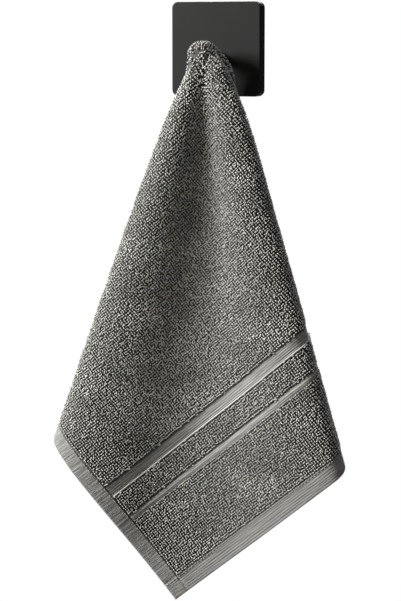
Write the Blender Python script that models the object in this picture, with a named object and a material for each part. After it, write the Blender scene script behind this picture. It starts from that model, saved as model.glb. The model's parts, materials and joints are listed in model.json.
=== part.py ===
"""Square terry face towel draped over a tilted peg on a square wall plate.

Metres, +Z up. The origin is the middle of the plate's back face, the wall is the plane y = 0 and the room
is on the -Y side. Lengths in the tables below are in millimetres.
"""
from collections import namedtuple
import math

import bmesh
import bpy
import numpy as np

MM = 0.001
TINY = 1e-9

# The hook.
PLATE_SIDE = 61.5
PLATE_THICK = 9.0
PLATE_CORNER = 4.0
PLATE_BEVEL = 0.8
PEG_RADIUS = 4.0
PEG_TILT = math.radians(3.0)
PEG_END_ROUND = 2.0
PEG_SIDES = 32
PEG_END_STEPS = 5
CORNER_STEPS = 6
BEVEL_STEPS = 3
SHARP_EDGE = math.radians(35.0)
FIT_GAP = 0.3

# The towel, flat. Corner C hangs lowest; "along" runs from C up the side hem, "across" from C along the end hem.
TOWEL_SIDE = 285.0
TOWEL_THICK = 2.4
HANG_ALONG = 273.9
HANG_ACROSS = 241.9

# Where the cloth's middle surface crosses over the peg.
HANG_POINT = (0.0, -30.0, 2.8)
PEG_REST_GAP = 1.0
PEG_PAST_HANG = 7.5
END_ROUND = 3.5
FLANK_SLOPE = math.radians(72.0)
FLANK_GROWTH = 15.0
MEETING_ROUND = 3.0

# The peg holds the cloth up to this distance along it. In front, where the cloth has passed the peg's end, it
# falls free sooner and over a short stretch.
PEG_HOLDS_TO = 41.0
FRONT_FREE_AT = 24.0
FRONT_FREED_OVER = 10.0
FRONT_HALF = math.radians(90.0)

# Distance from the hang point, along the cloth, of the four levels in the table of folds.
LEVELS = (18.0, 43.0, 130.0, 250.0)
FIRST_SPREAD = 0.85

# Width of a sharp fold's turn at each level, so that the cloth bends round it and does not pinch.
TURN_WIDTHS = (2.4, 6.0, 8.0, 11.0)

# Seen from above, with the hang point at 0, 0: x to the right and y towards the wall, at each level. A ridge
# stands out from the hang point and a valley goes in. Soft ones are one wide curve and sharp ones turn back.
Fold = namedtuple("Fold", "name kind dome collar waist hem")
FOLDS = (
    Fold("front_valley", "soft", (2.8, -9.5), (2.6, -7.0), (0.8, -1.6), (-6.0, -8.4)),
    Fold("left_crest", "soft", (-3.0, -12.5), (-7.2, -18.6), (-27.5, -28.0), (-55.0, -39.5)),
    Fold("left_ridge", "sharp", (-6.6, -5.0), (-16.4, -9.5), (-46.4, -17.0), (-84.2, -28.0)),
    Fold("left_valley", "sharp", (-6.4, 0.0), (-8.0, -3.0), (-19.0, -6.5), (-33.0, -9.0)),
    Fold("left_second", "sharp", (-7.0, 4.5), (-16.0, 2.5), (-40.0, -0.5), (-75.0, 2.0)),
    Fold("left_inner", "soft", (-6.8, 8.5), (-8.4, 8.5), (-17.0, 7.0), (-30.0, 10.0)),
    Fold("left_rear", "soft", (-6.4, 12.5), (-12.0, 12.5), (-33.0, 14.0), (-56.0, 18.0)),
    Fold("rear_saddle", "soft", (0.5, 16.0), (-1.0, 17.0), (-9.0, 16.0), (-15.0, 20.0)),
    Fold("right_rear", "soft", (8.4, 12.8), (10.0, 17.0), (24.0, 27.0), (46.0, 40.0)),
    Fold("right_inner", "soft", (10.2, 9.5), (9.8, 10.5), (14.0, 14.5), (20.0, 18.0)),
    Fold("right_second", "sharp", (12.6, 6.0), (19.2, 6.5), (39.5, 11.5), (71.0, 14.5)),
    Fold("right_valley", "sharp", (10.4, 2.0), (12.0, 2.0), (21.0, 4.0), (30.0, 4.5)),
    Fold("right_ridge", "sharp", (12.8, -3.5), (24.0, -3.5), (49.2, 2.0), (84.8, 1.0)),
    Fold("right_crest", "soft", (11.2, -11.0), (15.8, -13.0), (33.5, -12.5), (63.5, -14.5)),
)

# How far along each side of the section's polygon a turn reaches, as a share of the side.
SOFT_REACH = 0.5
SHARP_REACH = 0.4

# Past this angle from the line to corner C, and up to the strip that lies on the peg, the cloth is gathered in
# small pleats, to this share of its width.
GATHER_FROM = math.radians(60.0)
GATHER_SHARE = 0.32
STRIP_HALF = math.radians(20.0)

# The section is closed all round up to the first distance, and past the second the cloth lies at its own width.
CLOSED_TO = 20.0
LOOSE_BY = 90.0

# Steps of the worked-out surface, the least that one falls, and the rows and columns of the solid's mesh.
LEVEL_STEP = 1.0
LEAST_DROP = 0.05
TURN_STEPS = 12
ANGLE_STEPS = 720
CAP_ROWS = (2.5, 5.0, 7.5, 10.0, 12.5, 15.0, 17.5)
SKIRT_ROWS = 15
ROW_POWER = 1.6
# Lengths of cloth, from the hang point to the edge, between which the rows change from even to that power.
POWER_EDGES = (60.0, 160.0)
# Close to the hang point the solid's thickness is measured straight up.
UPRIGHT_TO = 4.0
# The creases over the peg's end are rounded by a bell of this width across the cloth, cut off at so many widths,
# and by so many passes down it. The rounding fades out between the two distances.
SOFT_WIDTH = 2.0
BELL_REACH = 3.0
SOFT_PASSES = 12
PASS_SHARE = 0.25
SOFT_FADES = (40.0, 70.0)
# Columns of the mesh all round, spread half by angle and half by the length of the cloth's rim.
MESH_COLUMNS = 136
FINE_STEPS = 7200

CLOTH_COLOUR = (0.235, 0.232, 0.215, 1.0)
METAL_COLOUR = (0.035, 0.035, 0.033, 1.0)


def material(name, colour, roughness, metallic):
    made = bpy.data.materials.new(name)
    made.use_nodes = True
    shader = made.node_tree.nodes["Principled BSDF"]
    shader.inputs["Base Color"].default_value = colour
    shader.inputs["Roughness"].default_value = roughness
    shader.inputs["Metallic"].default_value = metallic
    made.diffuse_color = colour
    return made


def mesh_object(name, mesh, finish):
    made = bpy.data.objects.new(name, mesh)
    mesh.materials.append(finish)
    bpy.context.scene.collection.objects.link(made)
    return made


def fold_points(distance):
    """The folds' places in plan at each distance along the cloth, as one smooth path a fold."""
    knots = np.array((0.0,) + LEVELS)
    start = np.zeros((len(FOLDS), 2))
    places = np.array([start] + [[getattr(f, level) for f in FOLDS] for level in ("dome", "collar", "waist", "hem")])
    rates = np.diff(places, axis=0) / np.diff(knots)[:, None, None]
    outwards = places[1] / np.linalg.norm(places[1], axis=1, keepdims=True)
    slopes = np.array([FIRST_SPREAD * outwards] + [
        (rates[i] * (knots[i + 2] - knots[i + 1]) + rates[i + 1] * (knots[i + 1] - knots[i])) / (knots[i + 2] - knots[i])
        for i in range(len(rates) - 1)
    ] + [rates[-1]])
    span = np.clip(np.searchsorted(knots, distance, side="right") - 1, 0, len(knots) - 2)
    width = (knots[span + 1] - knots[span])[:, None, None]
    t = (np.minimum(distance, knots[-1]) - knots[span])[:, None, None] / width
    curve = (
        (2 * t**3 - 3 * t**2 + 1) * places[span]
        + (t**3 - 2 * t**2 + t) * width * slopes[span]
        + (3 * t**2 - 2 * t**3) * places[span + 1]
        + (t**3 - t**2) * width * slopes[span + 1]
    )
    return curve + np.maximum(distance - knots[-1], 0.0)[:, None, None] * rates[-1]


def section(points, width):
    """One level's closed section: the polygon of its folds, sharp folds given their width, with each corner
    rounded by a parabola. Returns its points and how far along it each lies."""
    last = np.roll(points, 1, axis=0) - points
    following = np.roll(points, -1, axis=0) - points
    last /= np.linalg.norm(last, axis=1, keepdims=True)
    following /= np.linalg.norm(following, axis=1, keepdims=True)
    along = following - last
    along *= width / 2 / np.linalg.norm(along, axis=1, keepdims=True)
    corners, reach_back, reach_on = [], [], []
    for fold, point, half in zip(FOLDS, points, along):
        if fold.kind == "soft":
            corners += [point]
            reach_back += [SOFT_REACH]
            reach_on += [SOFT_REACH]
        else:
            corners += [point - half, point + half]
            reach_back += [SHARP_REACH, 0.5]
            reach_on += [0.5, SHARP_REACH]
    corners = np.array(corners)
    before = corners + np.array(reach_back)[:, None] * (np.roll(corners, 1, axis=0) - corners)
    after = corners + np.array(reach_on)[:, None] * (np.roll(corners, -1, axis=0) - corners)
    t = np.linspace(0.0, 1.0, TURN_STEPS)[None, :, None]
    turns = (1 - t) ** 2 * before[:, None] + 2 * t * (1 - t) * corners[:, None] + t**2 * after[:, None]
    loop = np.roll(turns.reshape(-1, 2), -(TURN_STEPS // 2), axis=0)
    loop = np.vstack([loop, loop[:1]])
    steps = np.linalg.norm(np.diff(loop, axis=0), axis=1)
    return loop, np.concatenate([[0.0], np.cumsum(steps)])


def gathered(angle):
    """The share of the section that the cloth takes up from its front line to this angle, in radians."""
    left, right = seam_angles()
    size = np.abs(angle)
    strip = np.where(np.asarray(angle) > 0, left, -right) - STRIP_HALF
    pleats = np.clip(size - GATHER_FROM, 0.0, strip - GATHER_FROM)
    return np.sign(angle) * (np.minimum(size, GATHER_FROM) + GATHER_SHARE * pleats + np.maximum(size - strip, 0.0))


def seam_angles():
    """The angles, from the line to corner C, of the cloth's shortest way to its edge: the left and right names."""
    front = math.atan2(-HANG_ACROSS, -HANG_ALONG)
    return -front, -front - 2 * math.pi


def bent_down(distance, radius, steeper):
    """Height lost at this distance along a rod of this radius, round at first and then straight and steep."""
    turn = radius * math.sin(FLANK_SLOPE)
    bent = np.minimum(distance, turn)
    return np.sqrt(radius**2 - bent**2) - radius - (distance - bent) * math.tan(FLANK_SLOPE) * steeper


def over_the_peg(x, y, far):
    """Lowest height, over the hang point, at which the cloth's middle surface clears the peg. Its flanks are
    steeper further along the cloth, where it hangs free."""
    steeper = 1.0 + (far / FLANK_GROWTH) ** 2
    beside = bent_down(np.abs(x), PEG_RADIUS + PEG_REST_GAP + TOWEL_THICK / 2, steeper)
    past_end = bent_down(np.maximum(-PEG_PAST_HANG - y, 0.0), END_ROUND, steeper)
    return -y * math.tan(PEG_TILT) + beside + past_end


def drape():
    """The hung middle surface: angles, distances and a point for each pair, with the hang point at the origin."""
    left, right = seam_angles()
    angles = np.linspace(right, left, ANGLE_STEPS + 1)
    reach = math.hypot(HANG_ALONG, HANG_ACROSS)
    distances = np.arange(0.0, reach + 2 * LEVEL_STEP, LEVEL_STEP)
    polygons = fold_points(distances)
    widths = np.interp(distances, (0.0,) + LEVELS, (0.0,) + TURN_WIDTHS)
    whole = gathered(left) - gathered(right)
    plan = np.zeros((len(angles), len(distances), 2))
    closed_ease = None
    for i in range(1, len(distances)):
        loop, run = section(polygons[i], widths[i])
        far = distances[i]
        ease = run[-1] / (far * whole)
        if far > CLOSED_TO:
            closed_ease = ease if closed_ease is None else closed_ease
            loose = min(1.0, (far - CLOSED_TO) / (LOOSE_BY - CLOSED_TO))
            ease = closed_ease + (1.0 - closed_ease) * loose * loose * (3 - 2 * loose)
        place = np.mod(gathered(angles) * far * ease, run[-1])
        plan[:, i, 0] = np.interp(place, run, loop[:, 0])
        plan[:, i, 1] = np.interp(place, run, loop[:, 1])
    moved = np.linalg.norm(np.diff(plan, axis=1), axis=2)
    drop = np.sqrt(np.maximum(LEVEL_STEP**2 - moved**2, LEAST_DROP**2))
    hung = np.concatenate([np.zeros((len(angles), 1)), -np.cumsum(drop, axis=1)], axis=1)
    rest = over_the_peg(plan[..., 0], plan[..., 1], distances)
    held = (hung + rest + np.sqrt((hung - rest) ** 2 + MEETING_ROUND**2)) / 2
    freed = np.clip((distances - FRONT_FREE_AT) / FRONT_FREED_OVER, 0.0, 1.0)
    freed = np.where(np.abs(angles)[:, None] < FRONT_HALF, freed * freed * (3 - 2 * freed), distances >= PEG_HOLDS_TO)
    height = held + (hung - held) * freed
    return angles, distances, softened(np.dstack([plan, height]), angles, distances)


def softened(points, angles, distances):
    """The surface with the small creases over the peg's end rounded off."""
    step = angles[1] - angles[0]
    result = points.copy()
    for i, far in enumerate(distances[1:], start=1):
        fading = 1.0 - np.interp(far, SOFT_FADES, (0.0, 1.0))
        spread = SOFT_WIDTH * fading / far / step
        reach = min(int(BELL_REACH * spread), ANGLE_STEPS // 2)
        if reach > 0:
            bell = np.exp(-0.5 * (np.arange(-reach, reach + 1) / spread) ** 2)
            ring = np.pad(points[:-1, i], ((reach, reach), (0, 0)), mode="wrap")
            for axis in range(3):
                result[:-1, i, axis] = np.convolve(ring[:, axis], bell / bell.sum(), mode="valid")
            result[-1, i] = result[0, i]
    share = PASS_SHARE * (1.0 - np.interp(distances[1:-1], SOFT_FADES, (0.0, 1.0)))[:, None]
    for _ in range(SOFT_PASSES):
        result[:, 1:-1] += share * (result[:, :-2] + result[:, 2:] - 2 * result[:, 1:-1])
    return result


def sampled(surface, angle, distance):
    """Points of the hung surface at these angles and distances, read between the worked-out ones."""
    angles, distances, points = surface
    a = (angle - angles[0]) / (angles[1] - angles[0])
    d = distance / LEVEL_STEP
    i = np.clip(a.astype(int), 0, len(angles) - 2)
    j = np.clip(d.astype(int), 0, len(distances) - 2)
    fa = (a - i)[..., None]
    fd = (d - j)[..., None]
    return (
        (1 - fa) * (1 - fd) * points[i, j]
        + fa * (1 - fd) * points[i + 1, j]
        + (1 - fa) * fd * points[i, j + 1]
        + fa * fd * points[i + 1, j + 1]
    )


def facing(points):
    """The outward direction at each point of the worked-out surface."""
    normal = np.cross(np.gradient(points, axis=0), np.gradient(points, axis=1))
    normal /= np.maximum(np.linalg.norm(normal, axis=2, keepdims=True), TINY)
    normal[:, 0] = (0.0, 0.0, 1.0)
    return normal


def edge_distance(angle):
    """How far the flat cloth reaches from the hang point at each angle."""
    flat = angle + math.atan2(-HANG_ACROSS, -HANG_ALONG)
    reach = np.full(np.shape(angle), np.inf)
    for way, behind, ahead in (
        (np.cos(flat), HANG_ALONG, TOWEL_SIDE - HANG_ALONG),
        (np.sin(flat), HANG_ACROSS, TOWEL_SIDE - HANG_ACROSS),
    ):
        room = np.where(way > 0, ahead, behind)
        reach = np.minimum(reach, room / np.maximum(np.abs(way), TINY))
    return reach


def mesh_angles():
    """Column angles, with one on each corner of the cloth and one on the saddle."""
    left, right = seam_angles()
    front = math.atan2(-HANG_ACROSS, -HANG_ALONG)
    corners = [
        math.atan2(across - HANG_ACROSS, along - HANG_ALONG) - front
        for along, across in ((TOWEL_SIDE, 0), (0, 0), (0, TOWEL_SIDE), (TOWEL_SIDE, TOWEL_SIDE))
    ]
    corners = [a - 2 * math.pi if i > 1 and a > 0 else a for i, a in enumerate(corners)]
    stops = [left] + corners + [right]
    every = np.linspace(right, left, FINE_STEPS + 1)
    rim = edge_distance(every)[:, None] * np.column_stack([np.cos(every), np.sin(every)])
    rim = np.concatenate([[0.0], np.cumsum(np.linalg.norm(np.diff(rim, axis=0), axis=1))])
    turned = gathered(every) - gathered(right)
    even = (turned / turned[-1] + rim / rim[-1]) / 2
    marks = np.interp(stops, every, even)
    columns = []
    for start, stop in zip(marks, marks[1:]):
        count = round(MESH_COLUMNS * (start - stop))
        columns.append(np.interp(np.linspace(start, stop, count, endpoint=False), even, every))
    return np.concatenate(columns)


def row_distances(angle):
    """Rows of the mesh down each column: short columns evenly, long ones closer together over the peg."""
    edge = edge_distance(angle)[:, None]
    even = len(CAP_ROWS) / (len(CAP_ROWS) + SKIRT_ROWS)
    cap = np.minimum(1.0, even * edge / CAP_ROWS[-1]) * np.array(CAP_ROWS)
    power = np.interp(edge, POWER_EDGES, (1.0, ROW_POWER))
    share = (np.arange(1, SKIRT_ROWS + 1) / SKIRT_ROWS) ** power
    return np.hstack([cap, cap[:, -1:] + (edge - cap[:, -1:]) * share])


def towel():
    surface = drape()
    angle = mesh_angles()
    distance = row_distances(angle)
    angle = np.broadcast_to(angle[:, None], distance.shape)
    middle = sampled(surface, angle, distance)
    normal = sampled(surface[:2] + (facing(surface[2]),), angle, distance)
    upright = 1.0 - np.minimum(1.0, distance / UPRIGHT_TO)[..., None]
    normal += (np.array([0.0, 0.0, 1.0]) - normal) * upright
    normal /= np.linalg.norm(normal, axis=2, keepdims=True)
    half = TOWEL_THICK / 2
    columns, rows = distance.shape
    mesh = bmesh.new()
    origin = np.array(HANG_POINT)
    sides = []
    for way in (half, -half):
        apex = mesh.verts.new((origin + (0, 0, way)) * MM)
        grid = [[mesh.verts.new((origin + middle[i, j] + way * normal[i, j]) * MM) for j in range(rows)]
                for i in range(columns)]
        sides.append((apex, grid))
    beside = np.roll(middle, -1, axis=0)
    falling = np.linalg.norm(middle[:, :-1] - beside[:, 1:], axis=2)
    rising = np.linalg.norm(middle[:, 1:] - beside[:, :-1], axis=2)
    for (apex, grid), outer in zip(sides, (True, False)):
        for i in range(columns):
            here, after = grid[i], grid[(i + 1) % columns]
            faces = [(apex, here[0], after[0])]
            for j in range(rows - 1):
                if falling[i, j] <= rising[i, j]:
                    faces += [(here[j], here[j + 1], after[j + 1]), (here[j], after[j + 1], after[j])]
                else:
                    faces += [(here[j], here[j + 1], after[j]), (after[j], here[j + 1], after[j + 1])]
            for face in faces:
                mesh.faces.new(face if outer else face[::-1])
    outer, inner = sides[0][1], sides[1][1]
    for i in range(columns):
        k = (i + 1) % columns
        mesh.faces.new((outer[i][-1], inner[i][-1], inner[k][-1], outer[k][-1]))
    bmesh.ops.recalc_face_normals(mesh, faces=mesh.faces)
    data = bpy.data.meshes.new("towel")
    mesh.to_mesh(data)
    mesh.free()
    data.shade_smooth()
    return mesh_object("towel", data, material("terry", CLOTH_COLOUR, 0.95, 0.0))


def hook_plate():
    mesh = bmesh.new()
    bmesh.ops.create_cube(mesh, size=1.0)
    bmesh.ops.scale(mesh, vec=(PLATE_SIDE * MM, PLATE_THICK * MM, PLATE_SIDE * MM), verts=mesh.verts)
    bmesh.ops.translate(mesh, vec=(0, -PLATE_THICK * MM / 2, 0), verts=mesh.verts)
    corners = [e for e in mesh.edges if abs(e.verts[0].co.y - e.verts[1].co.y) > MM]
    bmesh.ops.bevel(mesh, geom=corners, offset=PLATE_CORNER * MM, segments=CORNER_STEPS, profile=0.5, affect="EDGES")
    middle_y = -PLATE_THICK * MM / 2
    front = [e for e in mesh.edges if all(v.co.y < middle_y for v in e.verts)]
    bmesh.ops.bevel(mesh, geom=front, offset=PLATE_BEVEL * MM, segments=BEVEL_STEPS, profile=0.5, affect="EDGES")
    data = bpy.data.meshes.new("hook_plate")
    mesh.to_mesh(data)
    mesh.free()
    data.shade_smooth()
    data.set_sharp_from_angle(angle=SHARP_EDGE)
    return mesh_object("hook_plate", data, material("matte_black", METAL_COLOUR, 0.55, 0.6))


def hook_peg(finish):
    """A round bar on the tilted line under the hang point, cut square to the plate and rounded at its end."""
    axis_at_hang = HANG_POINT[2] - (TOWEL_THICK / 2 + PEG_REST_GAP + PEG_RADIUS)
    rise = math.tan(PEG_TILT)
    root_y = -(PLATE_THICK + FIT_GAP)
    end_y = HANG_POINT[1] - PEG_PAST_HANG
    mesh = bmesh.new()
    rings = []
    profile = [(root_y, PEG_RADIUS)]
    for k in range(PEG_END_STEPS + 1):
        turn = math.pi / 2 * k / PEG_END_STEPS
        profile.append((end_y + PEG_END_ROUND * (1 - math.sin(turn)),
                        PEG_RADIUS - PEG_END_ROUND * (1 - math.cos(turn))))
    for y, radius in profile:
        z = axis_at_hang + (HANG_POINT[1] - y) * rise
        ring = []
        for k in range(PEG_SIDES):
            turn = 2 * math.pi * k / PEG_SIDES
            up = radius * math.sin(turn)
            lean = 0.0 if y == root_y else up * math.sin(PEG_TILT)
            ring.append(mesh.verts.new(((radius * math.cos(turn)) * MM, (y + lean) * MM, (z + up) * MM)))
        rings.append(ring)
    for ring, after in zip(rings, rings[1:]):
        for k in range(PEG_SIDES):
            mesh.faces.new((ring[k], ring[(k + 1) % PEG_SIDES], after[(k + 1) % PEG_SIDES], after[k]))
    mesh.faces.new(rings[0])
    mesh.faces.new(rings[-1])
    bmesh.ops.recalc_face_normals(mesh, faces=mesh.faces)
    data = bpy.data.meshes.new("hook_peg")
    mesh.to_mesh(data)
    mesh.free()
    data.shade_smooth()
    data.set_sharp_from_angle(angle=SHARP_EDGE)
    return mesh_object("hook_peg", data, finish)


def main():
    for old in list(bpy.data.objects):
        bpy.data.objects.remove(old, do_unlink=True)
    towel()
    plate = hook_plate()
    hook_peg(plate.data.materials[0])


main()
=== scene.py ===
# %% [markdown]
# A terry face towel hangs over the round peg of a square wall plate. This lesson dresses the packed
# frame of that object: it hangs a finely meshed cloth on the frame's folds, sews its hems, raises its
# terry loops and paints the hook. Everything is in metres with Z up. The wall is the plane y = 0 and
# the room is on the -Y side.

# %% Load the frame
import json
import math
from collections import namedtuple

import bpy
import numpy as np
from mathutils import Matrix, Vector

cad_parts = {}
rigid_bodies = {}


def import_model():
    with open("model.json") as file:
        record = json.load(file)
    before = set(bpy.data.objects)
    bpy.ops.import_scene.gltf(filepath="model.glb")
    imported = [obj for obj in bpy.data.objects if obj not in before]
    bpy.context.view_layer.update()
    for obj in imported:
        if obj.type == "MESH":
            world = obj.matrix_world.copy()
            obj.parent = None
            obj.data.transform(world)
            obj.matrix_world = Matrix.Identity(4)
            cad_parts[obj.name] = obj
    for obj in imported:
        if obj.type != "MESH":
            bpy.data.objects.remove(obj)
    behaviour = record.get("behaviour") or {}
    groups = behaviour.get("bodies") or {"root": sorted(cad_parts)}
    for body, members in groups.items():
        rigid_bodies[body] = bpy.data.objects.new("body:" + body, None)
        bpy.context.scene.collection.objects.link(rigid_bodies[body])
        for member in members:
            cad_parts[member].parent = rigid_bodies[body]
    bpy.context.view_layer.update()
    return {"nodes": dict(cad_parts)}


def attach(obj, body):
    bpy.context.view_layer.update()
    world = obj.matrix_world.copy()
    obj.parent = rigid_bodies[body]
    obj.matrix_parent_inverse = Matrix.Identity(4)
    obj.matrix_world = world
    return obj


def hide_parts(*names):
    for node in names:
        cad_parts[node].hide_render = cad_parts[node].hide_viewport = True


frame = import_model()

MM = 0.001
SEED = 11

# %% [markdown]
# Blender's operators act on whatever is selected, and the frame arrives selected. So a small helper
# clears the selection before each piece is begun, another selects one piece, and a third gives a
# piece one material.

# %% Small helpers
def deselect():
    if bpy.context.object and bpy.context.object.mode != "OBJECT":
        bpy.ops.object.mode_set(mode="OBJECT")
    bpy.ops.object.select_all(action="DESELECT")


def only(piece):
    deselect()
    piece.select_set(True)
    bpy.context.view_layer.objects.active = piece


def wear(piece, finish):
    piece.data.materials.clear()
    piece.data.materials.append(finish)


def triangles(piece):
    return sum(len(face.vertices) - 2 for face in piece.data.polygons)


def smooth(share):
    """A share from 0 to 1, eased at both ends."""
    return share * share * (3 - 2 * share)


# %% [markdown]
# Shader maths reads best as plain expressions. This class wraps one output of a node, so that adding
# or multiplying two of them adds the Math node that does it.

# %% Shader maths as expressions
class Wire:
    """One output of a shader node, with arithmetic that adds Math nodes."""

    def __init__(self, finish, socket):
        self.finish = finish
        self.socket = socket

    def maths(self, operation, *others):
        return self.finish.node("ShaderNodeMath", {"operation": operation}, [self, *others])

    def __add__(self, other):
        return self.maths("ADD", other)

    def __mul__(self, other):
        return self.maths("MULTIPLY", other)

    def __rsub__(self, other):
        return self.finish.node("ShaderNodeMath", {"operation": "SUBTRACT"}, [other, self])

    __radd__ = __add__
    __rmul__ = __mul__

    def past(self, edge, soft):
        """0 below an edge and 1 above it, over a soft width on each side."""
        return self.finish.node(
            "ShaderNodeMapRange", {"interpolation_type": "SMOOTHSTEP"},
            {"Value": self, "From Min": edge - soft, "From Max": edge + soft})

    def between(self, low, high, soft):
        """1 inside low to high, and 0 outside."""
        return self.past(low, soft) * (1 - self.past(high, soft))


# %% [markdown]
# A material is built by one object too. Its node method makes any node in one call: first the node's
# settings, then what goes into its sockets, whether numbers or other nodes' outputs.

# %% A material being built
MIX_FACTOR, MIX_FIRST, MIX_SECOND, MIX_COLOUR = 0, 6, 7, 2
OBJECT_PLACE = 3
ATTRIBUTE_VALUE = 2


class Finish:
    """A material being built, whose node method adds any node in one call."""

    def __init__(self, name, roughness):
        self.material = bpy.data.materials.new(name)
        self.material.use_nodes = True
        self.tree = self.material.node_tree
        self.shader = self.tree.nodes["Principled BSDF"]
        self.set("Roughness", roughness)

    def feed(self, socket, value):
        if isinstance(value, Wire):
            self.tree.links.new(value.socket, socket)
        else:
            socket.default_value = value

    def node(self, kind, settings=None, inputs=(), output=0):
        made = self.tree.nodes.new(kind)
        for name, value in (settings or {}).items():
            setattr(made, name, value)
        pairs = inputs.items() if isinstance(inputs, dict) else enumerate(inputs)
        for key, value in pairs:
            self.feed(made.inputs[key], value)
        return Wire(self, made.outputs[output])

    def mix(self, factor, first, second):
        """A colour between two others."""
        return self.node("ShaderNodeMix", {"data_type": "RGBA"},
                         {MIX_FACTOR: factor, MIX_FIRST: first, MIX_SECOND: second}, MIX_COLOUR)

    def noise(self, place, scale, **more):
        return self.node("ShaderNodeTexNoise", {}, {"Vector": place, "Scale": scale, **more})

    def place(self):
        """Object coordinates, which stay put on the piece."""
        return self.node("ShaderNodeTexCoord", output=OBJECT_PLACE)

    def set(self, name, value):
        self.feed(self.shader.inputs[name], value)

    def bump(self, height, strength, distance):
        inputs = {"Height": height, "Strength": strength, "Distance": distance}
        self.set("Normal", self.node("ShaderNodeBump", {}, inputs))

    def done(self):
        print("finish", self.material.name, "with", len(self.tree.nodes), "nodes")
        return self.material


def grey(value, warmth=0.0):
    """A near grey in linear light, with its blue lowered by warmth."""
    return (value * (1 + warmth / 3), value, value * (1 - warmth), 1.0)


# %% [markdown]
# The camera looks at the plate from the right, level with it. It stands far back with a long lens, a
# little pitched down, and the lens is shifted so that the long cloth below fills the frame. Blender
# measures the lens against its sensor, which here spans the taller side of the picture.

# %% Camera
IMAGE_W, IMAGE_H = 401, 601
AZIMUTH = math.radians(21.0)
PLATE_FRONT = Vector((0.0, -0.009, 0.0))
CAMERA_AWAY = 1.1
CAMERA_HEIGHT = 0.0065
SHIFT_Y = -0.15
FOCAL_PX = 1679.3
HORIZON_Y = 39.0
PLATE_MIDDLE_X = 215.6
SENSOR_MM = 36.0
SEEN_TO = 20.0

ahead = Vector((-math.sin(AZIMUTH), math.cos(AZIMUTH), 0.0))
aside = Vector((math.cos(AZIMUTH), math.sin(AZIMUTH), 0.0))
pitch = math.atan((IMAGE_H / 2 + IMAGE_H * SHIFT_Y - HORIZON_Y) / FOCAL_PX)
along_view = CAMERA_AWAY * math.cos(pitch) + CAMERA_HEIGHT * math.sin(pitch)
off_middle = (PLATE_MIDDLE_X - IMAGE_W / 2) * along_view / FOCAL_PX
eye = PLATE_FRONT - ahead * CAMERA_AWAY - aside * off_middle
eye.z += CAMERA_HEIGHT
deselect()
bpy.ops.object.camera_add(location=eye, rotation=(math.pi / 2 - pitch, 0.0, AZIMUTH))
camera = bpy.context.object
camera.data.sensor_width = SENSOR_MM
camera.data.lens = FOCAL_PX * SENSOR_MM / IMAGE_H
camera.data.shift_y = SHIFT_Y
camera.data.clip_end = SEEN_TO
bpy.context.scene.camera = camera
print("camera pitch", round(math.degrees(pitch), 2), "degrees, lens", round(camera.data.lens, 1), "mm")

# %% [markdown]
# The cloth is 285 mm square. It hangs from a point near its far corner, so the opposite corner, C,
# hangs lowest. "Along" is measured from C up the side hem and "across" from C along the end hem, in
# millimetres. A place can also be given by its distance from the hang point and its angle there, from
# the line to C. The two seams are the same line of the cloth, behind, where the angles meet.

# %% The cloth's size and where it hangs
TOWEL_SIDE = 285.0
HANG_ALONG = 273.9
HANG_ACROSS = 241.9
HANG_POINT = (0.0, -30.0, 2.8)
FRONT_WAY = math.atan2(-HANG_ACROSS, -HANG_ALONG)
SEAMS = (-FRONT_WAY, -FRONT_WAY - 2 * math.pi)
print("hang point to corner C", round(math.hypot(HANG_ALONG, HANG_ACROSS), 1), "mm")

# %% [markdown]
# The table gives the folds seen from above, in millimetres from the hang point, at four distances
# down the cloth: x to the right and y towards the wall. Soft folds are one wide curve, and sharp ones
# turn back on themselves.

# %% The folds
LEVELS = (18.0, 43.0, 130.0, 250.0)
Fold = namedtuple("Fold", "name kind dome collar waist hem")
FOLDS = (
    Fold("front_valley", "soft", (2.8, -9.5), (2.6, -7.0), (0.8, -1.6), (-6.0, -8.4)),
    Fold("left_crest", "soft", (-3.0, -12.5), (-7.2, -18.6), (-27.5, -28.0), (-55.0, -39.5)),
    Fold("left_ridge", "sharp", (-6.6, -5.0), (-15.8, -9.5), (-45.3, -17.0), (-83.0, -28.0)),
    Fold("left_valley", "sharp", (-6.4, 0.0), (-8.0, -3.0), (-19.0, -6.5), (-33.0, -9.0)),
    Fold("left_second", "sharp", (-7.0, 4.5), (-16.0, 2.5), (-40.0, -0.5), (-75.0, 2.0)),
    Fold("left_inner", "soft", (-6.8, 8.5), (-8.4, 8.5), (-17.0, 7.0), (-30.0, 10.0)),
    Fold("left_rear", "soft", (-6.4, 12.5), (-12.0, 12.5), (-33.0, 14.0), (-56.0, 18.0)),
    Fold("rear_saddle", "soft", (0.5, 16.0), (-1.0, 17.0), (-9.0, 16.0), (-15.0, 20.0)),
    Fold("right_rear", "soft", (8.4, 12.8), (10.0, 17.0), (24.0, 27.0), (46.0, 40.0)),
    Fold("right_inner", "soft", (10.2, 9.5), (9.8, 10.5), (14.0, 14.5), (20.0, 18.0)),
    Fold("right_second", "sharp", (12.6, 6.0), (19.2, 6.5), (39.5, 11.5), (71.0, 14.5)),
    Fold("right_valley", "sharp", (10.4, 2.0), (12.0, 2.0), (21.0, 4.0), (30.0, 4.5)),
    Fold("right_ridge", "sharp", (12.8, -3.5), (23.5, -3.5), (48.2, 2.0), (83.4, 1.0)),
    Fold("right_crest", "soft", (11.2, -11.0), (15.8, -13.0), (33.5, -12.5), (63.5, -14.5)),
)
print("folds round the cloth:", len(FOLDS))

# %% [markdown]
# The drape is worked out, not simulated, so that it is the same on every run. First each fold becomes
# one smooth path down the cloth, a curve through its four places that starts out from the hang point.

# %% The folds' paths
FIRST_SPREAD = 0.85


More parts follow.
